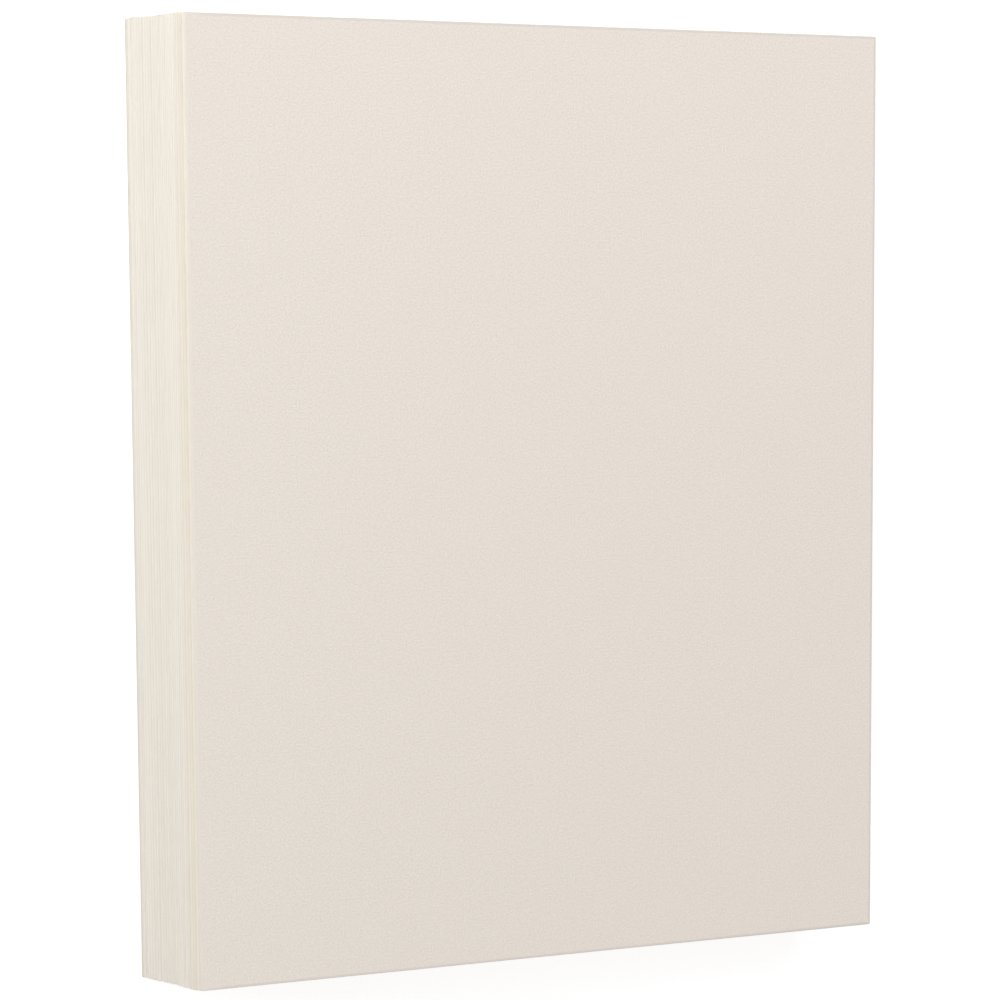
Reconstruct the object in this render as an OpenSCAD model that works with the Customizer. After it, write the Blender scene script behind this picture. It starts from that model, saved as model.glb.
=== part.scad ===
// A pack of letter-size cardstock, lying flat on its bottom sheet.
// Each sheet is a piece of heavy cover stock of its own, cut square on a guillotine.
// The sheets lie face to face, with nothing round them. The pack has been pushed over
// by hand, so each sheet lies a small, uneven step further right than the one under it.

/* [Sheet] */
// Width of a sheet, along X
sheet_w = 215.9; // [90:0.1:330]
// Length of a sheet, along Y
sheet_l = 279.4; // [120:0.1:490]
// Thickness of a sheet, 16 thousandths of an inch
sheet_t = 0.406; // [0.2:0.001:1]

/* [Pack] */
// Number of sheets
sheet_count = 50; // [2:1:60]

/* [Fan] */
// How far the top sheet lies to the right of the bottom sheet
fan_slip = 13.4; // [0:0.1:40]
// Share by which the steps grow and shrink in slow swells through the pack
swell_share = 0.2; // [0:0.05:0.9]
// Number of swells from the top sheet to the bottom sheet
swell_turns = 1.5; // [0:0.5:4]
// Share by which one step is wider or narrower than its neighbours
step_scatter = 0.3; // [0:0.05:0.95]
// Most that a sheet lies off the middle of the pack, along Y
jog_scatter = 0.15; // [0:0.01:2]
// Most that a sheet is turned in its own plane, in degrees
turn_scatter = 0.05; // [0:0.01:0.5]
// Seed of the three scatters
scatter_seed = 7; // [1:1:999]

/* [Hidden] */
card_cream = "#EAE2D7";

// Sheets are counted from 0 at the bottom, and a name counts from 01
top_sheet = sheet_count - 1;
sheets = [0:1:top_sheet];

step_rands = rands(1 - step_scatter, 1 + step_scatter, sheet_count, scatter_seed);
jog_rands = rands(-jog_scatter, jog_scatter, sheet_count, scatter_seed + 1);
turn_rands = rands(-turn_scatter, turn_scatter, sheet_count, scatter_seed + 2);

// Relative width of the step from sheet i - 1 up to sheet i: a slow swell times its own scatter
function step_weight(i) =
    (1 + swell_share * cos(360 * swell_turns * (top_sheet - i) / top_sheet)) * step_rands[i];

// Sum of the relative steps from the bottom sheet up to sheet i
function weight_up_to(i) = i < 1 ? 0 : step_weight(i) + weight_up_to(i - 1);

// How far sheet i lies to the right of the bottom sheet
function slip(i) = fan_slip * weight_up_to(i) / weight_up_to(top_sheet);

// Half of the room that a turned sheet takes up along X and along Y
function half_x(i) = (sheet_w * cos(turn_rands[i]) + sheet_l * abs(sin(turn_rands[i]))) / 2;
function half_y(i) = (sheet_l * cos(turn_rands[i]) + sheet_w * abs(sin(turn_rands[i]))) / 2;

// Middle of the whole pack's footprint, which is moved onto the origin
pack_right = max([for (i = sheets) slip(i) + half_x(i)]);
pack_left = min([for (i = sheets) slip(i) - half_x(i)]);
pack_far = max([for (i = sheets) jog_rands[i] + half_y(i)]);
pack_near = min([for (i = sheets) jog_rands[i] - half_y(i)]);
pack_middle = [(pack_right + pack_left) / 2, (pack_far + pack_near) / 2];

// One flat sheet, cut square, with its middle on the Z axis and its underside at height 0
module sheet() {
    color(card_cream)
        linear_extrude(sheet_t)
            square([sheet_w, sheet_l], center = true);
}

// Sheet i where it lies in the pack, face to face with the sheets above and below it
module placed_sheet(i) {
    translate([slip(i) - pack_middle[0], jog_rands[i] - pack_middle[1], i * sheet_t])
        rotate([0, 0, turn_rands[i]])
            sheet();
}

for (i = sheets)
    placed_sheet(i);
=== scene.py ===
import math

import bpy
import numpy as np
from mathutils import Matrix, Vector


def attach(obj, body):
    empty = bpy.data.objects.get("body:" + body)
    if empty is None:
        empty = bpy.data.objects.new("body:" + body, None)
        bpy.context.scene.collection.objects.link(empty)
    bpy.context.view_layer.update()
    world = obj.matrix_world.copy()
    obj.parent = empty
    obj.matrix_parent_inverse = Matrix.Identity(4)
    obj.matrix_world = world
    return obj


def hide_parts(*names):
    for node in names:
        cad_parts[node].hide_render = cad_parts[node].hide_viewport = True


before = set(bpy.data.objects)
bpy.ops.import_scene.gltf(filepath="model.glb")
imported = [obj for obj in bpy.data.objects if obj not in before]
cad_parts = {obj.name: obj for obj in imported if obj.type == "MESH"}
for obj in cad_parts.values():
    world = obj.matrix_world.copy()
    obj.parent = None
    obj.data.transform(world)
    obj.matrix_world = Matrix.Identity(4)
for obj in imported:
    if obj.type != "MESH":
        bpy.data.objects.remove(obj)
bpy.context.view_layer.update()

# Sheets of cardstock
# Each one is a flat piece of uncoated wove cover stock, cream through and through.
# A guillotine cuts the whole pack at once: its knife draws the upper rim of each sheet
# down a little, and leaves the cut face matt, slightly fibrous and never quite square.

MM = 0.001
corner_radius = 0.35 * MM
corner_tightening = 0.25
knife_rims = (0.05 * MM, 0.13 * MM)
lower_rim = 0.04 * MM
rim_support = 0.1
knife_lean = 0.05 * MM
knife_wander = 0.02 * MM
wander_waves = np.array([3, 7, 12])
margin_width = 0.8 * MM
margin_blend = 0.05 * MM
worn_rim = 0.22 * MM
worn_sag = 0.03 * MM
points_per_side = 40
points_per_corner = 4
points_per_rim = 4
inner_rings = np.array([0.5, 0.9, 0.99])


def node_corners(node):
    """The four corners of a sheet's plan, anticlockwise from the lower left, and its two heights."""
    points = np.array([vertex.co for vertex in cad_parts[node].data.vertices])
    corner_signs = np.array([[-1, -1], [1, -1], [1, 1], [-1, 1]])
    plan = points[np.argmax(points[:, :2] @ corner_signs.T, axis=0), :2]
    return plan, points[:, 2].min(), points[:, 2].max()


def rounded_outline():
    """Points round a square of -1 to 1 with rounded corners, as base points and outward normals.

    A ring of any half size and corner radius is base * (half size - radius) + normal * radius.
    """
    along = np.linspace(-1, 1, points_per_side + 1)[:, None]
    turn = np.linspace(0, 90, points_per_corner + 1)[1:-1]
    bases, normals = [], []
    for quarter in range(4):
        angle = math.radians(90 * quarter)
        out = np.array([math.cos(angle), math.sin(angle)]).round()
        across = np.array([-out[1], out[0]])
        corner_turn = np.radians(90 * quarter + turn)
        corner_out = np.stack([np.cos(corner_turn), np.sin(corner_turn)], axis=1)
        bases += [out + along * across, np.tile(out + across, (len(turn), 1))]
        normals += [np.tile(out, (len(along), 1)), corner_out]
    return np.concatenate(bases), np.concatenate(normals)


def cut_profile(low, high, upper_rim, sag, lean):
    """Rows of (inset, height, cut share, margin share), from the upper face over the cut to the lower.

    Both rims are quarter circles. The upper one is wider, because the knife comes from above, and
    the margin beside it may sag. The cut face leans: inset grows by lean * (1 - h) where lean is
    above 0, and by -lean * h where it is below, with h the share of the height. A row just inside
    each rim keeps the rim's shading off the margin.
    """
    bend = np.radians(np.linspace(0, 90, points_per_rim + 1))
    share, ones = bend / bend[-1], np.ones(len(bend))
    top = high - sag
    upper = [upper_rim * (1 - np.sin(bend)), top - upper_rim * (1 - np.cos(bend)), share, ones]
    lower = [lower_rim * (1 - np.cos(bend)), low + lower_rim * (1 - np.sin(bend)), 1 - share, ones]
    edge = np.concatenate([np.stack(upper, axis=1), np.stack(lower, axis=1)])
    height_share = (edge[:, 1] - low) / (high - low)
    edge[:, 0] += np.maximum(lean * (1 - height_share), -lean * height_share)
    inside = margin_width + margin_blend
    face = [
        [inside, high, 0, 0],
        [margin_width, high, 0, 1],
        [edge[0, 0] + rim_support * upper_rim, top, 0, 1],
    ]
    underside = [
        [edge[-1, 0] + rim_support * lower_rim, low, 0, 1],
        [margin_width, low, 0, 1],
        [inside, low, 0, 0],
    ]
    return np.concatenate([face, edge, underside])


def sheet_mesh(name, corners, profile, proud_side, rng):
    """A closed sheet: the cut profile carried round the outline, with rings inside down to a point.

    Each ring is a rounded rectangle. Its half size is the sheet's less the row's inset, and its
    corner radius is less by a quarter of that inset. A wander comes off the rows of the profile
    too: long sines round the outline, summed and always inward, as the knife never cuts quite
    straight. proud_side is 1 on a sheet that stands proud of the pack on its right, -1 on its left
    and 0 on neither: a proud sheet gets painted shade on the margins of that side and of both ends.
    """
    middle = corners.mean(axis=0)
    across = (corners[1] - corners[0] + corners[2] - corners[3]) / 2
    along = (corners[3] - corners[0] + corners[2] - corners[1]) / 2
    width, length = np.linalg.norm(across), np.linalg.norm(along)
    half = np.array([width, length]) / 2
    base, normal = rounded_outline()
    count = len(base)

    wave_count = len(wander_waves)
    phases = rng.uniform(0, 2 * np.pi, (wave_count, 1))
    turn = 2 * np.pi * np.arange(count) / count
    sines = np.sin(wander_waves[:, None] * turn + phases).sum(axis=0)
    wander = knife_wander * (wave_count + sines) / (2 * wave_count)

    insets = profile[:, 0]
    inner = half * inner_rings[:, None]
    halves = np.concatenate([inner, half - insets[:, None], inner[::-1]])
    pad = (len(inner), len(inner))
    radii = np.pad(corner_radius - insets * corner_tightening, pad, mode="edge")
    sway = np.pad(np.ones(len(insets)), pad)
    heights, cut, margin = (np.pad(profile[:, column], pad, mode="edge") for column in (1, 2, 3))
    out = (radii[:, None] - sway[:, None] * wander)[..., None]
    plan = base * (halves - radii[:, None])[:, None] + normal * out

    flat = middle + plan[..., :1] * across / width + plan[..., 1:] * along / length
    rings = np.concatenate([flat, np.tile(heights[:, None, None], (1, count, 1))], axis=2)
    poles = [[*middle, heights[0]], [*middle, heights[-1]]]
    vertices = np.concatenate([rings.reshape(-1, 3), poles])

    this = np.arange(count)
    after = (this + 1) % count
    start = count * np.arange(len(plan) - 1)[:, None]
    quads = np.stack([start + this, start + count + this, start + count + after, start + after], axis=-1)
    top_pole = len(vertices) - 2
    last = top_pole - count
    top_fan = np.stack([np.full(count, top_pole), this, after], axis=-1)
    bottom_fan = np.stack([np.full(count, top_pole + 1), last + after, last + this], axis=-1)
    faces = [*quads.reshape(-1, 4).tolist(), *top_fan.tolist(), *bottom_fan.tolist()]

    mesh = bpy.data.meshes.new(name)
    mesh.from_pydata(vertices, [], faces)
    mesh.polygons.foreach_set("use_smooth", np.ones(len(mesh.polygons), bool))
    # Painted shade: the margins of a proud sheet's proud side and of both ends are marked to be drawn
    # darker
    reached = abs(proud_side) * (proud_side * base[:, 0] > -1)
    for share, values in (
        ("cut", np.repeat(cut, count)),
        ("margin", np.repeat(margin, count)),
        ("shaded_proud_margin", np.outer(margin, reached)),
    ):
        add_attribute(mesh, share, np.append(values, [0] * len(poles)))
    return mesh


def add_attribute(mesh, name, values):
    """Gives each vertex of a mesh its own number, or all of them the same one."""
    values = np.broadcast_to(values, len(mesh.vertices)).astype(np.float32)
    mesh.attributes.new(name, "FLOAT", "POINT").data.foreach_set("value", values)


def linear(hex_colour):
    """An sRGB colour such as "#F5EEE4" as linear red, green, blue and alpha."""
    parts = [int(hex_colour[at : at + 2], 16) / 255 for at in (1, 3, 5)]
    return [part / 12.92 if part <= 0.04045 else ((part + 0.055) / 1.055) ** 2.4 for part in parts] + [1.0]


def add_node(tree, kind, inputs, **settings):
    """Adds a node with its settings, and fills its inputs with values or with links from sockets."""
    node = tree.nodes.new(kind)
    for setting, value in settings.items():
        setattr(node, setting, value)
    for socket, value in inputs.items():
        if isinstance(value, bpy.types.NodeSocket):
            tree.links.new(value, node.inputs[socket])
        else:
            node.inputs[socket].default_value = value
    return node


def wove_cover_stock():
    """Uncoated wove cover stock, made from bleached pulp coloured cream.

    To the eye it is matt, with a fine felt grain just under a millimetre across and a faint
    cloudiness from the way the fibres settled. Sheets of one pack differ a little in shade. The
    clamp of the guillotine presses the grain flat along the margins. Painted shade darkens the rims,
    and the margins that stand proud. A cream tint, in part painted bounce light, warms some sheets.
    """
    grain_pitch, grain_contrast, grain_depth = 0.9 * MM, 0.18, 0.060 * MM
    # Single fibres are too fine to show, so the finer grain that they make is drawn 0.4 mm wide
    fibre_pitch, fibre_contrast, fibre_depth = 0.4 * MM, 0.03, 0.006 * MM
    cloud_pitch, cloud_contrast = 18 * MM, 0.02
    # From one blotch of the noise to the next is about 1.7 of its cells
    noise_cells = 1.7
    # A sheet is thinner than its grain is wide, so heights are stretched to part one sheet's grain
    # from the next one's
    height_stretch = 6
    margin_press = 0.75
    # Painted shade: how much darker the colour is drawn at the rims and on the proud margins
    rim_painted_shade, proud_margin_shade = 0.4, 0.09
    darker_shade, lighter_shade, cream_tint_and_light = "#E5DDD3", "#F5EEE4", "#FFFDF2"
    material = bpy.data.materials.new("uncoated_wove_cover_stock")
    material.use_nodes = True
    tree = material.node_tree
    tree.nodes.clear()
    cut, margin, shaded_proud_margin, shade, tint_and_light = (
        add_node(tree, "ShaderNodeAttribute", {}, attribute_name=name).outputs["Fac"]
        for name in ("cut", "margin", "shaded_proud_margin", "shade", "tint_and_light")
    )

    # Grain, fibres and clouds are added up, each swinging about 0
    place = add_node(tree, "ShaderNodeTexCoord", {}).outputs["Object"]
    apart = add_node(
        tree, "ShaderNodeMapping", {"Vector": place, "Scale": (1, 1, height_stretch)}
    ).outputs["Vector"]
    swing = -(grain_contrast + fibre_contrast + cloud_contrast) / 2
    relief = -(grain_depth + fibre_depth) / 2 / MM
    for pitch, contrast, depth, detail in (
        (grain_pitch, grain_contrast, grain_depth, 0.0),
        (fibre_pitch, fibre_contrast, fibre_depth, 2.0),
        (cloud_pitch, cloud_contrast, 0.0, 3.0),
    ):
        noise = add_node(
            tree, "ShaderNodeTexNoise", {"Vector": apart, "Scale": noise_cells / pitch, "Detail": detail}
        ).outputs["Fac"]
        swing = add_node(
            tree, "ShaderNodeMath", {0: noise, 1: contrast, 2: swing}, operation="MULTIPLY_ADD"
        ).outputs["Value"]
        relief = add_node(
            tree, "ShaderNodeMath", {0: noise, 1: depth / MM, 2: relief}, operation="MULTIPLY_ADD"
        ).outputs["Value"]
    left = add_node(
        tree, "ShaderNodeMath", {0: margin, 1: -margin_press, 2: 1.0}, operation="MULTIPLY_ADD"
    ).outputs["Value"]
    mottle = add_node(
        tree, "ShaderNodeMath", {0: swing, 1: left, 2: 1.0}, operation="MULTIPLY_ADD"
    ).outputs["Value"]
    height = add_node(
        tree, "ShaderNodeMath", {0: relief, 1: left}, operation="MULTIPLY"
    ).outputs["Value"]

    # Rims lie where the cut share is between 0 and 1, so cut * (1 - cut) finds them. Their colour is
    # drawn darker there: painted shade in the grooves between sheets and along the pack's outline
    uncut = add_node(tree, "ShaderNodeMath", {0: 1.0, 1: cut}, operation="SUBTRACT").outputs["Value"]
    rim = add_node(tree, "ShaderNodeMath", {0: cut, 1: uncut}, operation="MULTIPLY").outputs["Value"]
    # Painted shade: the proud margins and the rims are drawn darker
    painted_shade_factor = add_node(
        tree, "ShaderNodeMath", {0: shaded_proud_margin, 1: -proud_margin_shade, 2: 1.0}, operation="MULTIPLY_ADD"
    ).outputs["Value"]
    painted_shade_factor = add_node(
        tree, "ShaderNodeMath", {0: rim, 1: -rim_painted_shade, 2: painted_shade_factor}, operation="MULTIPLY_ADD"
    ).outputs["Value"]
    tone = add_node(
        tree, "ShaderNodeMath", {0: mottle, 1: painted_shade_factor}, operation="MULTIPLY"
    ).outputs["Value"]

    # A colour Mix takes its factor at input 0 and its colours at 6 and 7, and gives output 2
    shaded = add_node(
        tree, "ShaderNodeMix", {0: shade, 6: linear(darker_shade), 7: linear(lighter_shade)},
        data_type="RGBA",
    ).outputs[2]
    # The cream tint: partly the sheets' own tone, partly painted bounce light and painted shade
    tinted_and_lit = add_node(
        tree, "ShaderNodeMix", {0: tint_and_light, 6: shaded, 7: linear(cream_tint_and_light)},
        data_type="RGBA", blend_type="MULTIPLY",
    ).outputs[2]
    colour = add_node(
        tree, "ShaderNodeVectorMath", {0: tinted_and_lit, "Scale": tone}, operation="SCALE"
    ).outputs["Vector"]

    bump = add_node(
        tree, "ShaderNodeBump", {"Height": height, "Distance": MM, "Strength": 1.0}
    ).outputs["Normal"]
    card = add_node(
        tree, "ShaderNodeBsdfPrincipled",
        {"Base Color": colour, "Normal": bump, "Roughness": 0.85, "IOR": 1.45, "Specular IOR Level": 0.2},
    )
    add_node(tree, "ShaderNodeOutputMaterial", {"Surface": card.outputs["BSDF"]})
    return material


# Sheets from two reels take turns, so lighter and darker ones alternate by an uneven amount. A few
# near the top are creamier, painted warm bounce light, and the two lowest are darker and creamier,
# painted shade along the pack's left outline. The bottom sheet stands proud on the left and the top
# one on the right, and the top one's rim is worn wide.
middle_shade, reel_swing, least_swing = 0.5, 0.3, 0.3
bounce_cream, bounce_rank, bounce_spread = 0.42, 0.92, 0.09
lowest_shade, lowest_shade_tint = 0.15, 0.2
top_shade, top_dye = 0.42, 0.15
cardstock = wove_cover_stock()
rng = np.random.default_rng(16)
sheets = sorted(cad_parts)
ranks = np.arange(len(sheets)) / (len(sheets) - 1)
reels = np.where(np.arange(len(sheets)) % 2, 1, -1)
shades = middle_shade + reel_swing * reels * rng.uniform(least_swing, 1, len(sheets))
# Painted bounce light: the sheets near the top are tinted creamier
tints_and_light = bounce_cream * np.exp(-(((ranks - bounce_rank) / bounce_spread) ** 2))
rims = rng.uniform(*knife_rims, len(sheets))
leans = rng.uniform(-knife_lean, knife_lean, len(sheets))
sags, proud_sides = np.zeros((2, len(sheets)))
# Painted shade: the two lowest sheets are drawn darker and creamier along the pack's left outline
shades[:2], tints_and_light[:2], proud_sides[0] = lowest_shade, lowest_shade_tint, -1
shades[-1], tints_and_light[-1], proud_sides[-1] = top_shade, top_dye, 1
rims[-1], sags[-1] = worn_rim, worn_sag
for node, shade, tint_and_light, side, rim, sag, lean in zip(sheets, shades, tints_and_light, proud_sides, rims, sags, leans):
    corners, low, high = node_corners(node)
    mesh = sheet_mesh(node + "_card", corners, cut_profile(low, high, rim, sag, lean), side, rng)
    add_attribute(mesh, "shade", shade)
    add_attribute(mesh, "tint_and_light", tint_and_light)
    mesh.materials.append(cardstock)
    card = bpy.data.objects.new(node + "_card", mesh)
    bpy.context.scene.collection.objects.link(card)
    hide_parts(node)
    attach(card, "root")

# Floor
# A plain pale sweep under the pack, not part of it. Its own shade is a light grey that takes
# the pack's soft shadow, and what the camera sees of it is lifted to white.

floor_reach = 4.0


def seen_rays(tree):
    """1 for camera, glossy and transmission rays, which show the background, and 0 for all others."""
    path = add_node(tree, "ShaderNodeLightPath", {})
    seen = path.outputs["Is Camera Ray"]
    for other in ("Is Glossy Ray", "Is Transmission Ray"):
        seen = add_node(
            tree, "ShaderNodeMath", {0: seen, 1: path.outputs[other]}, operation="MAXIMUM"
        ).outputs["Value"]
    return seen


def studio_floor():
    """A matt pale floor. Light Path adds the same glow for camera, glossy and transmission rays.

    The glow is weak by the pack, so that its shadow shows, and rises to white further off.
    """
    near_glow, far_glow = 0.61, 1.0
    glow_start, glow_end = 0.3, 1.2
    material = bpy.data.materials.new("matt_studio_floor")
    material.use_nodes = True
    tree = material.node_tree
    tree.nodes.clear()
    place = add_node(tree, "ShaderNodeTexCoord", {}).outputs["Object"]
    distance = add_node(tree, "ShaderNodeVectorMath", {0: place}, operation="LENGTH").outputs["Value"]
    level = add_node(
        tree, "ShaderNodeMapRange",
        {
            "Value": distance,
            "From Min": glow_start,
            "From Max": glow_end,
            "To Min": near_glow,
            "To Max": far_glow,
        },
    ).outputs["Result"]
    glow = add_node(
        tree, "ShaderNodeMath", {0: seen_rays(tree), 1: level}, operation="MULTIPLY"
    ).outputs["Value"]
    paint = add_node(tree, "ShaderNodeBsdfDiffuse", {"Color": linear("#C8C8C8")})
    light = add_node(tree, "ShaderNodeEmission", {"Color": linear("#FFFFFF"), "Strength": glow})
    both = add_node(tree, "ShaderNodeAddShader", {0: paint.outputs["BSDF"], 1: light.outputs["Emission"]})
    add_node(tree, "ShaderNodeOutputMaterial", {"Surface": both.outputs["Shader"]})
    return material


floor_signs = ((-1, -1), (1, -1), (1, 1), (-1, 1))
floor_corners = [(x * floor_reach, y * floor_reach, 0) for x, y in floor_signs]
floor_mesh = bpy.data.meshes.new("studio_floor")
floor_mesh.from_pydata(floor_corners, [], [(0, 1, 2, 3)])
floor_mesh.materials.append(studio_floor())
floor = bpy.data.objects.new("studio_floor", floor_mesh)
bpy.context.scene.collection.objects.link(floor)

# Light
# A low softbox on the left rakes across the cut edges. Four weaker ones hang overhead and stand at
# the far right corner, the near end and the near right corner. A white surround fills the shadows.

softbox_size = 0.8
surround_level = 0.40

# Each softbox is a square lamp that faces the pack, given as name, place, watts and colour
for name, place, power, colour in (
    ("key_softbox", (-0.90, 0.45, 0.32), 8.55, "#F4FBFF"),
    ("overhead_softbox", (0, 0, 1.8), 5.0, "#FFF9F9"),
    ("far_right_softbox", (0.5, 0.8, 0.5), 4.35, "#FCF5FF"),
    ("near_softbox", (0.1, -1.1, 0.5), 1.8, "#FFFFFF"),
    ("near_right_softbox", (0.8, -0.8, 0.5), 0.5, "#FFFFFF"),
):
    lamp = bpy.data.lights.new(name, "AREA")
    lamp.shape = "SQUARE"
    lamp.size = softbox_size
    lamp.energy = power
    lamp.color = linear(colour)[:3]
    box = bpy.data.objects.new(name, lamp)
    facing = Vector(place).to_track_quat("Z", "Y").to_matrix().to_4x4()
    box.matrix_world = Matrix.Translation(place) @ facing
    bpy.context.scene.collection.objects.link(box)

world = bpy.data.worlds.new("white_surround")
bpy.context.scene.world = world
world.use_nodes = True
tree = world.node_tree
tree.nodes.clear()
level = add_node(
    tree, "ShaderNodeMapRange", {"Value": seen_rays(tree), "To Min": surround_level, "To Max": 1.0}
).outputs["Result"]
surround = add_node(tree, "ShaderNodeBackground", {"Color": linear("#FFFFFF"), "Strength": level})
add_node(tree, "ShaderNodeOutputWorld", {"Surface": surround.outputs["Background"]})
bpy.context.scene.view_settings.view_transform = "Standard"

# Camera
# It looks down on the pack from the upper left, where the photograph's camera stands once the
# pack is laid on its back sheet. Place, aim, roll and lens are fitted to the six corners it shows.

camera_place = Vector((-0.22803, 0.05510, 0.66779))
camera_aim = Vector((-0.00910, -0.00014, 0.02030))
camera_roll = math.radians(-0.32)
camera_lens = 83.144
back = (camera_place - camera_aim).normalized()
right = Vector((0, 1, 0)).cross(back).normalized()
up = back.cross(right)
axes = Matrix((right, up, back)).transposed().to_4x4()
camera_data = bpy.data.cameras.new("camera")
camera_data.lens = camera_lens
camera = bpy.data.objects.new("camera", camera_data)
camera.matrix_world = Matrix.Translation(camera_place) @ axes @ Matrix.Rotation(camera_roll, 4, "Z")
bpy.context.scene.collection.objects.link(camera)
bpy.context.scene.camera = camera
